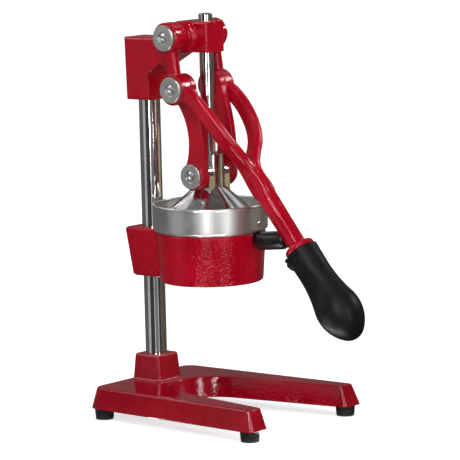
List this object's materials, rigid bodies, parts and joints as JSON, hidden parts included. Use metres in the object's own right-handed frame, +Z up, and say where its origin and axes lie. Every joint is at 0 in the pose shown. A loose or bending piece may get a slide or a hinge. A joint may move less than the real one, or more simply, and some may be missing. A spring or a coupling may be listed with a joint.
{
  "type": "citrus press juicer",
  "caption": "Hand lever citrus press: a forked lever drives a sliding rod and cup down on a ridged reamer in a strainer bowl, on a cast base with a bay for the glass.",
  "frame": {"origin": "on the table under the axis of the press rod, where the glass stands", "axes": "+Z up along the press rod, -Y towards the front where the lever hangs, +X to the right seen from the front"},
  "size_m": [0.1774, 0.293, 0.4086],
  "materials": {
    "red_enamel": "gloss red enamel with a fine hammered skin, on cast iron",
    "chrome_bar": "polished chrome plate",
    "washer_steel": "machined, satin",
    "polished_aluminium": "cast and polished",
    "stainless_sheet": "brushed stainless sheet",
    "black_knob": "gloss black moulding",
    "black_grip": "satin black moulding",
    "black_rubber": "matt",
    "zinc_screw": "zinc plated",
    "pin_steel": "ground"
  },
  "bodies": {
    "frame": {"base_casting": "red_enamel", "bowl_holder": "red_enamel", "head_casting": "red_enamel", "column": "chrome_bar", "reamer_cone": "polished_aluminium", "funnel": "stainless_sheet", "funnel_collar": "stainless_sheet", "strainer_bowl": "stainless_sheet", "handle_rivet": "stainless_sheet", "strainer_handle": "black_knob", "column_washer": "zinc_screw", "column_bolt": "zinc_screw", "holder_set_screw": "zinc_screw", "head_set_screw": "zinc_screw", "lever_pin": "pin_steel", "foot_rear_left": "black_rubber", "foot_screw_rear_left": "zinc_screw", "foot_rear_right": "black_rubber", "foot_screw_rear_right": "zinc_screw", "foot_front_left": "black_rubber", "foot_screw_front_left": "zinc_screw", "foot_front_right": "black_rubber", "foot_screw_front_right": "zinc_screw", "lever_left_cap": "washer_steel", "lever_left_screw": "chrome_bar", "lever_right_cap": "washer_steel", "lever_right_screw": "chrome_bar"},
    "lever": {"lever_casting": "red_enamel", "handle_grip": "black_grip", "upper_left_cap": "washer_steel", "upper_left_screw": "chrome_bar", "upper_left_pin": "pin_steel", "upper_right_cap": "washer_steel", "upper_right_screw": "chrome_bar", "upper_right_pin": "pin_steel"},
    "press": {"press_rod": "chrome_bar", "press_cup": "polished_aluminium", "lower_left_cap": "washer_steel", "lower_left_screw": "chrome_bar", "lower_left_pin": "pin_steel", "lower_right_cap": "washer_steel", "lower_right_screw": "chrome_bar", "lower_right_pin": "pin_steel"},
    "link_left": {"link_left": "red_enamel", "link_left_stub": "pin_steel"},
    "link_right": {"link_right": "red_enamel", "link_right_stub": "pin_steel"}
  },
  "joints": [
    {"name": "lever_swing", "type": "hinge", "parent": "frame", "child": "lever", "pos_m": [0, 0.02, 0.3858], "axis": [-1, 0, 0], "range_deg": [0, 95]},
    {"name": "press_slide", "type": "slide", "parent": "frame", "child": "press", "axis": [0, 0, 1], "range_m": [0, 0.0675]},
    {"name": "link_left_swing", "type": "hinge", "parent": "press", "child": "link_left", "pos_m": [0, 0, 0.2475], "axis": [1, 0, 0], "range_deg": [0, 28.82]},
    {"name": "link_right_swing", "type": "hinge", "parent": "press", "child": "link_right", "pos_m": [0, 0, 0.2475], "axis": [1, 0, 0], "range_deg": [0, 28.82]}
  ],
  "couplings": [
    {"joint": "press_slide", "follows": "lever_swing", "m_per_rad": 0.04071},
    {"joint": "link_left_swing", "follows": "lever_swing", "ratio": 0.30337},
    {"joint": "link_right_swing", "follows": "lever_swing", "ratio": 0.30337}
  ]
}
